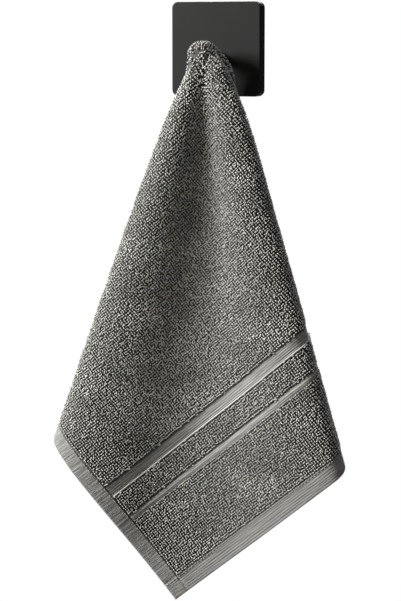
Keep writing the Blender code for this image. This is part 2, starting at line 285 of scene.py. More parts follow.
def path_slopes(knots, places):
    """How fast each fold moves in plan at each knot of its path."""
    steps = np.diff(knots)
    rates = np.diff(places, axis=0) / steps[:, None, None]
    outwards = places[1] / np.linalg.norm(places[1], axis=1, keepdims=True)
    inner = [
        (rates[i] * steps[i + 1] + rates[i + 1] * steps[i]) / (knots[i + 2] - knots[i])
        for i in range(len(rates) - 1)
    ]
    return np.array([FIRST_SPREAD * outwards] + inner + [rates[-1]])


def fold_points(distance):
    """The folds' places in plan at each distance along the cloth."""
    knots = np.array((0.0,) + LEVELS)
    start = np.zeros((len(FOLDS), 2))
    places = np.array([start] + [[getattr(fold, level) for fold in FOLDS]
                                 for level in ("dome", "collar", "waist", "hem")])
    slopes = path_slopes(knots, places)
    span = np.clip(np.searchsorted(knots, distance, side="right") - 1, 0, len(knots) - 2)
    width = (knots[span + 1] - knots[span])[:, None, None]
    t = (np.minimum(distance, knots[-1]) - knots[span])[:, None, None] / width
    curve = (
        (2 * t**3 - 3 * t**2 + 1) * places[span]
        + (t**3 - 2 * t**2 + t) * width * slopes[span]
        + (3 * t**2 - 2 * t**3) * places[span + 1]
        + (t**3 - t**2) * width * slopes[span + 1]
    )
    return curve + np.maximum(distance - knots[-1], 0.0)[:, None, None] * slopes[-1]


# %% [markdown]
# At each distance from the hang point the folds are the corners of a closed polygon. Cloth doesn't
# turn in a point, so each corner is rounded by a parabola. A sharp fold gets two corners, a turn's
# width apart, and the two outermost folds of the front turn a little wider than the rest.

# %% A closed section of the cloth
TURN_WIDTHS = (2.4, 6.0, 8.0, 11.0)
WIDER_TURNS = {"left_ridge": 1.6, "right_ridge": 2.3}
SOFT_REACH = 0.5
SHARP_REACH = 0.4
BETWEEN_REACH = 0.5
TURN_STEPS = 12
TINY = 1e-9


def unit(vectors):
    return vectors / np.maximum(np.linalg.norm(vectors, axis=-1, keepdims=True), TINY)


def turn_corners(points, width):
    """The polygon's corners, and how far each one's rounding reaches back and on along its sides."""
    last = unit(np.roll(points, 1, axis=0) - points)
    following = unit(np.roll(points, -1, axis=0) - points)
    along = unit(following - last) * (width / 2)
    corners, back, on = [], [], []
    for fold, point, half in zip(FOLDS, points, along):
        if fold.kind == "soft":
            corners += [point]
            back += [SOFT_REACH]
            on += [SOFT_REACH]
        else:
            half = half * WIDER_TURNS.get(fold.name, 1.0)
            corners += [point - half, point + half]
            back += [SHARP_REACH, BETWEEN_REACH]
            on += [BETWEEN_REACH, SHARP_REACH]
    return np.array(corners), np.array(back)[:, None], np.array(on)[:, None]


def section(points, width):
    """One level's closed section, and the run along it to each of its points."""
    corners, back, on = turn_corners(points, width)
    before = corners + back * (np.roll(corners, 1, axis=0) - corners)
    after = corners + on * (np.roll(corners, -1, axis=0) - corners)
    t = np.linspace(0.0, 1.0, TURN_STEPS)[None, :, None]
    turns = (1 - t) ** 2 * before[:, None] + 2 * t * (1 - t) * corners[:, None] + t**2 * after[:, None]
    loop = np.roll(turns.reshape(-1, 2), -(TURN_STEPS // 2), axis=0)
    loop = np.vstack([loop, loop[:1]])
    steps = np.linalg.norm(np.diff(loop, axis=0), axis=1)
    return loop, np.concatenate([[0.0], np.cumsum(steps)])


# %% [markdown]
# Where the cloth is bunched behind the front panel, much of its width goes into small pleats. There it
# takes up less of the section for its angle, and the front and the strip next to the seams take their
# full width.

# %% Where the cloth is gathered
GATHER_FROM = math.radians(60.0)
GATHER_SHARE = 0.32
STRIP_HALF = math.radians(20.0)


def gathered(angle):
    """How much of the section the cloth takes up from its front line to this angle."""
    size = np.abs(angle)
    strip = np.where(np.asarray(angle) > 0, SEAMS[0], -SEAMS[1]) - STRIP_HALF
    pleats = np.clip(size - GATHER_FROM, 0.0, strip - GATHER_FROM)
    taken = np.minimum(size, GATHER_FROM) + GATHER_SHARE * pleats + np.maximum(size - strip, 0.0)
    return np.sign(angle) * taken


# %% [markdown]
# At the top the cloth rests on the peg. Its middle surface follows the peg's round back and round end,
# half the cloth's thickness and a small gap away, and then falls off them as a steep flank.

# %% Over the peg
PEG_RADIUS = 4.0
PEG_TILT = math.radians(3.0)
PEG_PAST_HANG = 7.5
PEG_REST_GAP = 0.6
CLOTH_HALF = 1.2
END_ROUND = 3.5
FLANK_SLOPE = math.radians(72.0)
FLANK_GROWTH = 15.0


def bent_down(distance, radius, steeper):
    """Height lost at this distance along a rod, round at first and then straight and steep."""
    turn = radius * math.sin(FLANK_SLOPE)
    bent = np.minimum(distance, turn)
    flank = (distance - bent) * math.tan(FLANK_SLOPE) * steeper
    return np.sqrt(radius**2 - bent**2) - radius - flank


def over_the_peg(x, y, far):
    """Lowest height, over the hang point, at which the cloth's middle surface clears the peg."""
    steeper = 1.0 + (far / FLANK_GROWTH) ** 2
    beside = bent_down(np.abs(x), PEG_RADIUS + PEG_REST_GAP + CLOTH_HALF, steeper)
    past_end = bent_down(np.maximum(-PEG_PAST_HANG - y, 0.0), END_ROUND, steeper)
    return -y * math.tan(PEG_TILT) + beside + past_end


# %% [markdown]
# Now the cloth is laid round the sections. Near the peg it is crowded into them, and lower down it
# loosens until its own width fits. So each angle and distance gets a place in plan.

# %% The cloth laid round its sections
LEVEL_STEP = 1.0
ANGLE_STEPS = 720
CLOSED_TO = 20.0
LOOSE_BY = 90.0


def plan_places(angles, distances):
    """The cloth's places seen from above, for each angle and distance."""
    polygons = fold_points(distances)
    widths = np.interp(distances, (0.0,) + LEVELS, (0.0,) + TURN_WIDTHS)
    whole = gathered(SEAMS[0]) - gathered(SEAMS[1])
    plan = np.zeros((len(angles), len(distances), 2))
    closed_ease = None
    for i in range(1, len(distances)):
        loop, run = section(polygons[i], widths[i])
        far = distances[i]
        ease = run[-1] / (far * whole)
        if far > CLOSED_TO:
            closed_ease = ease if closed_ease is None else closed_ease
            loose = min(1.0, (far - CLOSED_TO) / (LOOSE_BY - CLOSED_TO))
            ease = closed_ease + (1.0 - closed_ease) * smooth(loose)
        place = np.mod(gathered(angles) * far * ease, run[-1])
        for axis in (0, 1):
            plan[:, i, axis] = np.interp(place, run, loop[:, axis])
    return plan


# %% [markdown]
# The height follows because the cloth doesn't stretch: what a step down the cloth doesn't spend
# sideways it spends going down. Where that would sink into the peg, the cloth lies on the peg instead,
# and the two meet in a round bend. The front comes free of the peg first.

# %% The hung surface
LEAST_DROP = 0.05
MEETING_ROUND = 3.0
PEG_HOLDS_TO = 41.0
FRONT_FREE_AT = 24.0
FRONT_FREED_OVER = 10.0
FRONT_HALF = math.radians(90.0)


def drape():
    """The hung middle surface as angles, distances and a point for each pair, in millimetres."""
    angles = np.linspace(SEAMS[1], SEAMS[0], ANGLE_STEPS + 1)
    distances = np.arange(0.0, math.hypot(HANG_ALONG, HANG_ACROSS) + 2 * LEVEL_STEP, LEVEL_STEP)
    plan = plan_places(angles, distances)
    moved = np.linalg.norm(np.diff(plan, axis=1), axis=2)
    drop = np.sqrt(np.maximum(LEVEL_STEP**2 - moved**2, LEAST_DROP**2))
    hung = np.concatenate([np.zeros((len(angles), 1)), -np.cumsum(drop, axis=1)], axis=1)
    rest = over_the_peg(plan[..., 0], plan[..., 1], distances)
    held = (hung + rest + np.sqrt((hung - rest) ** 2 + MEETING_ROUND**2)) / 2
    freed = smooth(np.clip((distances - FRONT_FREE_AT) / FRONT_FREED_OVER, 0.0, 1.0))
    front = np.abs(angles)[:, None] < FRONT_HALF
    height = held + (hung - held) * np.where(front, freed, distances >= PEG_HOLDS_TO)
    return angles, distances, np.dstack([plan, height]) + np.array(HANG_POINT)


surface_angles, surface_distances, surface = drape()
print("drape worked out at", surface.shape[0] * surface.shape[1], "points, lowest at",
      round(float(surface[..., 2].min()), 1), "mm")

# %% [markdown]
# Everything sewn or woven into the towel is placed in flat millimetres, along and across, and then
# carried to the hung surface. One function gives the point and the ways the cloth faces there, so that
# a loop of pile can stand on it at the right slant.

# %% From the flat cloth to the hung one
TANGENT_STEP = 0.5


def hung_at(along, across):
    """Points of the hung middle surface for places on the flat cloth."""
    a, b = along - HANG_ALONG, across - HANG_ACROSS
    way = np.arctan2(b, a) - FRONT_WAY
    way = np.where(way > SEAMS[0], way - 2 * math.pi, way)
    i = (way - surface_angles[0]) / (surface_angles[1] - surface_angles[0])
    j = np.hypot(a, b) / LEVEL_STEP
    i0 = np.clip(i.astype(int), 0, len(surface_angles) - 2)
    j0 = np.clip(j.astype(int), 0, len(surface_distances) - 2)
    fi, fj = (i - i0)[..., None], (j - j0)[..., None]
    return (
        (1 - fi) * (1 - fj) * surface[i0, j0]
        + fi * (1 - fj) * surface[i0 + 1, j0]
        + (1 - fi) * fj * surface[i0, j0 + 1]
        + fi * fj * surface[i0 + 1, j0 + 1]
    )


def frame_at(along, across):
    """Point, direction along, direction across and outward normal of the hung cloth at flat places."""
    step = TANGENT_STEP
    up = unit(hung_at(along + step, across) - hung_at(along - step, across))
    over = hung_at(along, across + step) - hung_at(along, across - step)
    out = unit(np.cross(over, up))
    return hung_at(along, across), up, np.cross(up, out), out


def hung_share(along, across):
    """Area of the hung surface for each unit of flat cloth: under 1 where it is gathered."""
    step = TANGENT_STEP
    over = (hung_at(along, across + step) - hung_at(along, across - step)) / (2 * step)
    up = (hung_at(along + step, across) - hung_at(along - step, across)) / (2 * step)
    return np.linalg.norm(np.cross(over, up), axis=-1)


# %% [markdown]
# A real face towel is not alike all over. Its hems are turned in twice and stitched, two flat bands
# cross it near the end hem, and a fine ridge is woven beside the upper one. Loops grow on the rest.

# %% Hems, bands and terry
SIDE_HEM = 10.6
END_HEM = 12.4
LOWER_BAND = (58.9, 63.6)
RIDGE = (79.5, 80.5)
RIBBED_BAND = (80.6, 88.0)
EDGE_SOFT = 0.5
TERRY_SOFT = 0.2


def inside(value, low, high, soft=EDGE_SOFT):
    """1 between low and high and 0 outside, with soft edges."""
    up = np.clip((value - low) / soft + 0.5, 0.0, 1.0)
    down = np.clip((high - value) / soft + 0.5, 0.0, 1.0)
    return smooth(up) * smooth(down)


def hem_depth(along, across):
    """How far a place lies inside the nearest side edge and the nearest end edge, in millimetres."""
    side = np.minimum(across, TOWEL_SIDE - across)
    end = np.minimum(along, TOWEL_SIDE - along)
    return side, end


def terry_share(along, across):
    """1 where loops grow, 0 on hems and flat bands."""
    side, end = hem_depth(along, across)
    bands = (inside(along, *LOWER_BAND, TERRY_SOFT)
             + inside(along, RIDGE[0], RIBBED_BAND[1], TERRY_SOFT))
    return (side > SIDE_HEM) * (end > END_HEM) * (1.0 - np.minimum(bands, 1.0))


# %% [markdown]
# The relief is half the cloth's thickness at each place. The ground under the loops is thin, because
# the loops give it its body. The lower band bulges, the upper one is finely ribbed, and the ridge
# stands out beside it.

# %% Relief of the bands
GROUND_HALF = 0.55
BAND_HALF = 0.75
BAND_BULGE = 0.55
RIDGE_HALF = 1.35
RIDGE_SOFT = 0.35
RIB_PITCH = 1.48
RIB_RISE = 0.18


def band_relief(along):
    """Half the thickness of the ground and the bands, in millimetres."""
    middle = (along - LOWER_BAND[0]) / (LOWER_BAND[1] - LOWER_BAND[0])
    bulge = BAND_HALF + BAND_BULGE * np.sin(math.pi * np.clip(middle, 0.0, 1.0))
    ribs = 1.0 + RIB_RISE / BAND_HALF * np.sin(2 * math.pi * (along - RIBBED_BAND[0]) / RIB_PITCH)
    half = np.full(np.shape(along), GROUND_HALF)
    half += (bulge - GROUND_HALF) * inside(along, *LOWER_BAND)
    half += (BAND_HALF * ribs - GROUND_HALF) * inside(along, *RIBBED_BAND)
    half += (RIDGE_HALF - GROUND_HALF) * inside(along, *RIDGE, RIDGE_SOFT)
    return half


# %% [markdown]
# A hem is the same cloth folded over twice, so it is thicker. The side hems pucker a little between
# their stitches, and the end hems show the weft as fine cords. A groove is pressed in where each hem
# meets the terry, and the outer edges are rounded.

# %% Relief of the hems
HEM_HALF = 1.15
PUCKERS = ((0.12, 3.1, SEED), (0.07, 1.7, SEED + 1))
WAVES = ((0.5, 1.0), (0.3, 1.47), (0.2, 1.94))
CORD_PITCH = 1.55
CORD_RISE = 0.08
GROOVE_HALF = 0.45
GROOVE_IN, GROOVE_OUT = 0.7, 0.3
CROSSING_IN, CROSSING_OUT = 0.8, 1.0
RIM_ROUND = 0.9
RIM_LEAST = 0.35


def uneven(value, pitch, seed):
    """A smooth uneven wave from -1 to 1, of about this pitch, for threads that don't lie evenly."""
    rng = np.random.default_rng(seed)
    total = np.zeros_like(value)
    for share, longer in WAVES:
        turn = rng.uniform(0.0, 2 * math.pi)
        total = total + share * np.sin(2 * math.pi * value / (pitch * longer) + turn)
    return total


def relief(along, across):
    """Half of the cloth's thickness, in millimetres."""
    side, end = hem_depth(along, across)
    puckers = 1.0 + sum(rise * uneven(along, pitch, seed) for rise, pitch, seed in PUCKERS)
    half = np.where(side < SIDE_HEM, HEM_HALF * puckers, band_relief(along))
    cords = 1.0 + CORD_RISE * np.sin(2 * math.pi * end / CORD_PITCH)
    half = np.where(end < END_HEM, HEM_HALF * cords, half)
    groove = np.maximum(inside(side, SIDE_HEM - GROOVE_IN, SIDE_HEM + GROOVE_OUT),
                        inside(end, END_HEM - GROOVE_IN, END_HEM + GROOVE_OUT))
    on_side_hem = (side < SIDE_HEM - CROSSING_IN) & (end > END_HEM + CROSSING_OUT)
    groove = np.where(on_side_hem, 0.0, groove)
    half = half + (GROOVE_HALF - half) * groove
    rim = np.clip(np.minimum(side, end) / RIM_ROUND, 0.0, 1.0)
    return half * (RIM_LEAST + (1.0 - RIM_LEAST) * np.sqrt(1.0 - (1.0 - rim) ** 2))


# %% [markdown]
# The sheet starts as one flat grid primitive. Its lines are spread unevenly, close together on the
# bands and hems, where the relief is fine, and wider on the terry.

# %% The flat grid
Stretch = namedtuple("Stretch", "end step")
ALONG_LINES = (
    Stretch(1.2, 0.4), Stretch(END_HEM, 0.62), Stretch(58.4, 1.8), Stretch(64.2, 0.5),
    Stretch(78.9, 1.6), Stretch(80.9, 0.22), Stretch(88.6, 0.29),
    Stretch(TOWEL_SIDE - END_HEM, 2.0), Stretch(TOWEL_SIDE, 1.2),
)
ACROSS_LINES = (
    Stretch(1.2, 0.4), Stretch(SIDE_HEM + 0.6, 0.75), Stretch(TOWEL_SIDE - SIDE_HEM, 1.9),
    Stretch(TOWEL_SIDE, 1.2),
)


def grid_lines(stretches):
    """Coordinates of the grid's lines from one edge of the cloth to the other."""
    lines = [0.0]
    for stretch in stretches:
        count = max(1, round((stretch.end - lines[-1]) / stretch.step))
        lines.extend(np.linspace(lines[-1], stretch.end, count + 1)[1:])
    return np.array(lines)


def flat_grid(name):
    """A grid primitive, and where its vertices lie on the flat cloth."""
    along_lines, across_lines = grid_lines(ALONG_LINES), grid_lines(ACROSS_LINES)
    rows, columns = len(along_lines) - 1, len(across_lines) - 1
    deselect()
    bpy.ops.mesh.primitive_grid_add(x_subdivisions=columns, y_subdivisions=rows, size=1.0)
    sheet = bpy.context.object
    sheet.name = name
    place = np.zeros(len(sheet.data.vertices) * 3)
    sheet.data.vertices.foreach_get("co", place)
    place = place.reshape(-1, 3)
    column = np.rint((place[:, 0] + 0.5) * columns).astype(int)
    row = np.rint((place[:, 1] + 0.5) * rows).astype(int)
    print(name, "grid of", rows, "by", columns)
    return sheet, along_lines[row], across_lines[column]


towel, along, across = flat_grid("towel_sheet")

# %% [markdown]
# Each vertex is carried to its place on the hung cloth. The sheet keeps its flat places as a UV map,
# so that its weave can be drawn on the flat cloth and hang with it. Its faces are turned to the room.

# %% Hang the sheet
centre, up, over, out = frame_at(along, across)
towel.data.vertices.foreach_set("co", (centre * MM).ravel())
flat_map = towel.data.uv_layers[0]
flat_map.name = "flat"
corner_of = np.zeros(len(towel.data.loops), np.int32)
towel.data.loops.foreach_get("vertex_index", corner_of)
flat_places = np.column_stack([along[corner_of], across[corner_of]]) / TOWEL_SIDE
flat_map.data.foreach_set("uv", flat_places.ravel().astype(np.float32))
only(towel)
bpy.ops.object.mode_set(mode="EDIT")
bpy.ops.mesh.select_all(action="SELECT")
bpy.ops.mesh.flip_normals()
bpy.ops.object.mode_set(mode="OBJECT")
middle = len(out) // 2
print("sheet faces the room:", towel.data.vertices[middle].normal.dot(Vector(out[middle])) > 0)

# %% [markdown]
# A Solidify modifier gives the sheet its thickness on both sides. A vertex group holds the relief, as
# a share of the thickest place, and the modifier reads it.

# %% Give the sheet its thickness
half = relief(along, across)
thickest = float(half.max())
group = towel.vertex_groups.new(name="relief")
for index, weight in enumerate(half / thickest):
    group.add([index], float(weight), "REPLACE")
only(towel)
thickness = towel.modifiers.new("thickness", "SOLIDIFY")
thickness.thickness = 2 * thickest * MM
thickness.offset = 0.0
thickness.vertex_group = "relief"
thickness.use_rim = True
bpy.ops.object.modifier_apply(modifier="thickness")
bpy.ops.object.shade_smooth()
print("sheet", triangles(towel), "triangles, up to", round(2 * thickest, 2), "mm thick")

# %% [markdown]
# Loops of pile and stitches of thread are both short bent tubes of a few faces. There are thousands,
# so they are made as arrays, and each piece is one mesh of many tubes. A tube is given by the line
# through its middle, and rings of points are set round that line.

# %% Short tubes of yarn
def ring_turns(sides, start=0.0):
    """The angles of the points round a tube."""
    return 2 * math.pi * (np.arange(sides) + 0.5) / sides + start


def tube_points(core, out, radius, turns):
    """Rings of points round the lines core, one line a tube, on cloth that faces out."""
    tangent = unit(np.gradient(core, axis=1))
    aside = unit(np.cross(tangent, out[:, None]))
    above = np.cross(aside, tangent)
    ring = (aside[:, :, None] * np.cos(turns)[:, None]
            + above[:, :, None] * np.sin(turns)[:, None])
    return core[:, :, None] + ring * radius[..., None, None]


# %% [markdown]
# The faces of all the tubes follow one pattern, so they are numbered for one tube and shifted for the
# rest. A tube is closed by a cap at each end.

# %% One piece of many tubes
def tube_faces(rings, sides):
    """The side faces of one tube and its two end caps, as numbers of its points."""
    quads = [
        (r * sides + s, r * sides + (s + 1) % sides,
         (r + 1) * sides + (s + 1) % sides, (r + 1) * sides + s)
        for r in range(rings - 1) for s in range(sides)
    ]
    first, last = tuple(range(sides)), tuple(range((rings - 1) * sides, rings * sides))
    return np.array(quads), np.array([first[::-1], last])


def tube_piece(name, points):
    """One piece of many tubes, from points ordered by tube, ring and side, in millimetres."""
    count, rings, sides = points.shape[:3]
    starts = (np.arange(count) * rings * sides)[:, None, None]
    quads, caps = tube_faces(rings, sides)
    quads = (quads[None] + starts).reshape(-1, 4)
    caps = (caps[None] + starts).reshape(-1, sides)
    corners = np.concatenate([quads.ravel(), caps.ravel()]).astype(np.int32)
    sizes = np.concatenate([np.full(len(quads), 4), np.full(len(caps), sides)])
    first_corners = np.concatenate([[0], np.cumsum(sizes)[:-1]]).astype(np.int32)
    mesh = bpy.data.meshes.new(name)
    mesh.vertices.add(count * rings * sides)
    mesh.vertices.foreach_set("co", (points.reshape(-1) * MM).astype(np.float32))
    mesh.loops.add(len(corners))
    mesh.loops.foreach_set("vertex_index", corners)
    mesh.polygons.add(len(sizes))
    mesh.polygons.foreach_set("loop_start", first_corners)
    mesh.update(calc_edges=True)
    mesh.validate()
    mesh.shade_smooth()
    piece = bpy.data.objects.new(name, mesh)
    bpy.context.scene.collection.objects.link(piece)
    return piece


def mark(piece, name, values):
    """Keep a value for each point of a piece, for its material to read."""
    layer = piece.data.attributes.new(name, "FLOAT", "POINT")
    layer.data.foreach_set("value", values.astype(np.float32))


# %% [markdown]
# The loops stand in the rows of the weave with a little disorder. Where the cloth is gathered, some
# are left out, and where it is pulled, more fill the gaps, so that the pile looks as dense all over.

# %% Where the loops grow
PLACE_JITTER = 0.13
FIRST_ROW_IN = 0.8
DENSITY = 1.15
FEWEST_SHARE = 0.4
MOST_SHARE = 4.0
LoopShape = namedtuple("LoopShape", "pitch rings sides")
FRONT_LOOP = LoopShape(1.62, 4, 3)
BACK_LOOP = LoopShape(2.0, 3, 3)


def loop_places(pitch, seed):
    """Where the loops grow on the flat cloth, and the random numbers to go on with."""
    rng = np.random.default_rng(seed)
    rows = np.arange(END_HEM + FIRST_ROW_IN, TOWEL_SIDE - END_HEM, pitch)
    columns = np.arange(SIDE_HEM + FIRST_ROW_IN, TOWEL_SIDE - SIDE_HEM, pitch)
    along, across = np.meshgrid(rows, columns, indexing="ij")
    along = along.ravel() + rng.normal(0.0, PLACE_JITTER, along.size)
    across = across.ravel() + rng.normal(0.0, PLACE_JITTER, across.size)
    share = np.clip(hung_share(along, across) * DENSITY, FEWEST_SHARE, MOST_SHARE)
    copies = np.floor(share + rng.uniform(0.0, 1.0, along.size)).astype(int)
    owner = np.repeat(np.arange(along.size), copies)
    first = np.concatenate([np.ones(1, bool), np.diff(owner) > 0])
    along, across = along[owner], across[owner]
    along = along + np.where(first, 0.0, rng.uniform(-pitch, pitch, along.size))
    across = across + np.where(first, 0.0, rng.uniform(-pitch, pitch, along.size))
    grows = terry_share(along, across) > 0.5
    return along[grows], across[grows], rng


# %% [markdown]
# Patch by patch the loops lie along the cloth or across it, which gives washed terry its look of small
# crossing strokes. Beside a band or a hem they all run along its edge.

# %% Which way the loops lean
LOOP_WAY = math.pi / 4
LEAN_PATCH = 7.0
LEAN_SPREAD = math.pi / 4
LEAN_CONTRAST = 3.0
LEAN_JITTER = 0.3
EDGE_ROW = 1.5
FIELD_WAVES = 7
FIELD_SIZE = 3.0


def smooth_field(along, across, pitch, seed):
    """An uneven field over the cloth from about -1 to 1, alike over a patch of this size."""
    rng = np.random.default_rng(seed)
    total = np.zeros_like(along)
    for _ in range(FIELD_WAVES):
        way = rng.uniform(0.0, 2 * math.pi)
        turn = rng.uniform(0.0, 2 * math.pi)
        wave = pitch * rng.uniform(0.7, 1.6)
        run = along * math.cos(way) + across * math.sin(way)
        total = total + np.sin(2 * math.pi * run / wave + turn)
    return total / FIELD_SIZE


def leaning(along, across, seed, rng):
    """Each loop's direction on the cloth, as an angle from along to across."""
    patches = smooth_field(along, across, LEAN_PATCH, seed)
    lean = LOOP_WAY + LEAN_SPREAD * np.tanh(LEAN_CONTRAST * patches)
    to_side, to_end = hem_depth(along, across)
    edges = (*LOWER_BAND, RIDGE[0], RIBBED_BAND[1])
    to_band = np.min([np.abs(along - edge) for edge in edges] + [to_end - END_HEM], axis=0)
    lean = np.where(to_side - SIDE_HEM < EDGE_ROW, 0.0, lean)
    lean = np.where(to_band < EDGE_ROW, math.pi / 2, lean)
    return lean + rng.normal(0.0, LEAN_JITTER, len(along))


# %% [markdown]
# Each loop leaves the ground, arches over and goes back in, a little bowed to one side. Its size
# varies. On the inner face near the peg the loops are crushed flat, where the cloth carries its weight.

# %% The arch of each loop
LOOP_LENGTH = 1.3
LOOP_RISE = 1.45
LOOP_YARN = 0.4
SIZE_RANGE = (0.8, 1.15)
YARN_RANGE = (0.88, 1.1)
LOOP_SUNK = 0.25
BOW = 0.18
ARCH_POWER = 0.75
THIN_END, THICK_MORE = 0.72, 0.28
CRUSHED_NEAR = 22.0
CRUSHED_SHARE = 0.45


def loop_tubes(along, across, side, shape, lean, rng):
    """Points of every loop's tube, and the height of each ring along its arch, 0 at the roots."""
    centre, up, over, out = frame_at(along, across)
    out = out * side
    count = len(along)
    way = up * np.cos(lean)[:, None] + over * np.sin(lean)[:, None]
    beside = np.cross(out, way)
    near = np.hypot(along - HANG_ALONG, across - HANG_ACROSS)
    crushed = np.where(near < CRUSHED_NEAR, CRUSHED_SHARE, 1.0) if side < 0 else 1.0
    length = LOOP_LENGTH * rng.uniform(*SIZE_RANGE, count)
    rise = LOOP_RISE * rng.uniform(*SIZE_RANGE, count) * crushed
    yarn = LOOP_YARN * rng.uniform(*YARN_RANGE, count)
    bow = rng.normal(0.0, BOW, count)
    ground = relief(along, across) - LOOP_SUNK
    t = np.linspace(0.0, 1.0, shape.rings)
    arch = np.sin(math.pi * t) ** ARCH_POWER
    core = (
        centre[:, None] + way[:, None] * (length[:, None] * (t - 0.5))[..., None]
        + beside[:, None] * (bow[:, None] * arch)[..., None]
        + out[:, None] * (ground[:, None] + rise[:, None] * arch)[..., None]
    )
    radius = yarn[:, None] * (THIN_END + THICK_MORE * arch)
    return tube_points(core, out, radius, ring_turns(shape.sides, math.pi / 2)), arch


# %% [markdown]
# The loops of one face are shared out over a few pieces, so that each piece stays light. Every point
# keeps two values for the material: a shade depth, from 0 at the root and on the yarn's under side to
# 1 on top, which sets a painted shade, and the loop's own tone.

# %% The pile on both faces
ARCH_DEPTH, SIDE_DEPTH = 0.62, 0.38
TONE_PATCH = 34.0
TONE_DRIFT = 0.22
TONE_JITTER = 0.16


def pile(names, side, shape, seed):
    """Loops on one face of the cloth, side 1 for the outer and -1 for the inner."""
    along, across, rng = loop_places(shape.pitch, seed)
    lean = leaning(along, across, seed + 1, rng)
    points, arch = loop_tubes(along, across, side, shape, lean, rng)
    # Painted shade: the side of each tube facing out from the cloth counts as its top, so the side
    # facing the cloth is painted darker.
    top = np.sin(ring_turns(shape.sides, math.pi / 2)) * 0.5 + 0.5
    shade_depth = arch[:, None] * ARCH_DEPTH + SIDE_DEPTH * top[None, :]
    drift = TONE_DRIFT * smooth_field(along, across, TONE_PATCH, seed + 2)
    tone = np.clip(0.5 + drift + rng.normal(0.0, TONE_JITTER, len(along)), 0.0, 1.0)
    pieces = []
    for name, chosen in zip(names, np.array_split(np.arange(len(along)), len(names))):
        piece = tube_piece(name, points[chosen])
        mark(piece, "shade_depth", np.tile(shade_depth.ravel(), len(chosen)))
        mark(piece, "tone", np.repeat(tone[chosen], shape.rings * shape.sides))
        pieces.append(piece)
        print(name, len(chosen), "loops of", triangles(piece), "triangles")
    return pieces


front_pile = pile(("pile_front_low", "pile_front_middle", "pile_front_high"), 1, FRONT_LOOP, SEED + 10)
back_pile = pile(("pile_back_low", "pile_back_high"), -1, BACK_LOOP, SEED + 20)

# %% [markdown]
# A lockstitch runs just inside the fold of each hem. Each stitch is a tiny tube that dips into the
# cloth at both ends, on both faces, and the stitches of all four hems are one piece.

# %% Hem stitches
STITCH_PITCH = 2.6
STITCH_LENGTH = 2.1
STITCH_YARN = 0.22
STITCH_RISE = 0.22
STITCH_SUNK = 0.12
STITCH_INSET = 1.1
STITCH_FROM_EDGE = 2.0
STITCH_RINGS = 4
STITCH_SIDES = 3


def stitch_row(along, across, toward_along):
    """Stitches centred on flat places, running along or across the cloth, on both faces."""
    centre, up, over, out = frame_at(along, across)
    way = up if toward_along else over
    t = np.linspace(0.0, 1.0, STITCH_RINGS)
    height = (relief(along, across) - STITCH_SUNK)[:, None] + STITCH_RISE * np.sin(math.pi * t)[None]
    radius = np.full(height.shape, STITCH_YARN)
    faces = []
    for side in (1, -1):
        core = (
            centre[:, None] + way[:, None] * (STITCH_LENGTH * (t - 0.5))[None, :, None]
            + side * out[:, None] * height[..., None]
        )
        faces.append(tube_points(core, side * out, radius, ring_turns(STITCH_SIDES)))
    return np.concatenate(faces)


def hem_stitches():
    """The stitches of all four hems as one piece."""
    end_line, side_line = END_HEM - STITCH_INSET, SIDE_HEM - STITCH_INSET
    up_sides = np.arange(end_line, TOWEL_SIDE - end_line, STITCH_PITCH)
    on_ends = np.arange(STITCH_FROM_EDGE, TOWEL_SIDE - STITCH_FROM_EDGE, STITCH_PITCH)
    rows = [stitch_row(up_sides, np.full(up_sides.shape, across), True)
            for across in (side_line, TOWEL_SIDE - side_line)]
    rows += [stitch_row(np.full(on_ends.shape, along), on_ends, False)
             for along in (end_line, TOWEL_SIDE - end_line)]
    return tube_piece("hem_stitches", np.concatenate(rows))


sewing = hem_stitches()
print("hem stitches made of", triangles(sewing), "triangles")

# %% [markdown]
# The yarn is a warm grey cotton. Loops are painted darker at the root and on their under sides, a
# painted shade where little light gets in, and each has its own slight tone. A fine grain of fibres
# roughens them, and a soft sheen lifts their edges.

# %% Finish of the loops
# The darkest yarn colour is a painted shade, for the roots and under sides of the loops and for the
# ground between them.
YARN_PAINTED_SHADE = grey(0.04, 0.12)
YARN_MID = grey(0.26, 0.085)
YARN_LIGHT = grey(0.58, 0.075)
ROOT_DEPTH, TOP_DEPTH = 0.12, 0.85
FIBRE_SCALE = 2600.0
FIBRE_SHARE = 0.35
COTTON_SHEEN_ROUGHNESS = 0.5


def terry_finish():
    made = Finish("terry_loops", 0.95)
    shade_depth = made.node("ShaderNodeAttribute", {"attribute_name": "shade_depth"}, output=ATTRIBUTE_VALUE)
    tone = made.node("ShaderNodeAttribute", {"attribute_name": "tone"}, output=ATTRIBUTE_VALUE)
    fibres = made.noise(made.place(), FIBRE_SCALE, Detail=2.0)
    # Painted shade: towards the root and the under side each loop is mixed to the shade colour.
    lit = made.node("ShaderNodeMapRange", {"interpolation_type": "SMOOTHSTEP"},
                    {"Value": shade_depth, "From Min": ROOT_DEPTH, "From Max": TOP_DEPTH})
    shade = made.mix(lit, YARN_PAINTED_SHADE, made.mix(tone, YARN_MID, YARN_LIGHT))
    made.set("Base Color", made.mix(fibres * FIBRE_SHARE, shade, YARN_MID))
    made.set("Sheen Weight", 0.25)
    made.set("Sheen Roughness", COTTON_SHEEN_ROUGHNESS)
    made.bump(fibres, strength=0.35, distance=0.0003)
    return made.done()


terry = terry_finish()
for piece in front_pile + back_pile:
    wear(piece, terry)

# %% [markdown]
# The hems and bands are flat weave, drawn on the cloth's own flat map. Masks made from the distances
# along and across say where they are. A hem is a little darker than a band, and a painted shade darkens
# a thin furrow where a band, the ridge or a hem meets the terry and between the ridge and the ribbed
# band. Under the loops the ground is painted dark, as the shade between them.

# %% Masks of the flat weave
CLOTH_MASK_SOFT = 0.2
HEM_MASK_IN = 0.2
FURROW_WIDTH = 0.7
HEM_FURROW = 0.9
FURROW_SOFT = 0.12
HEM_FURROW_SOFT = 0.15
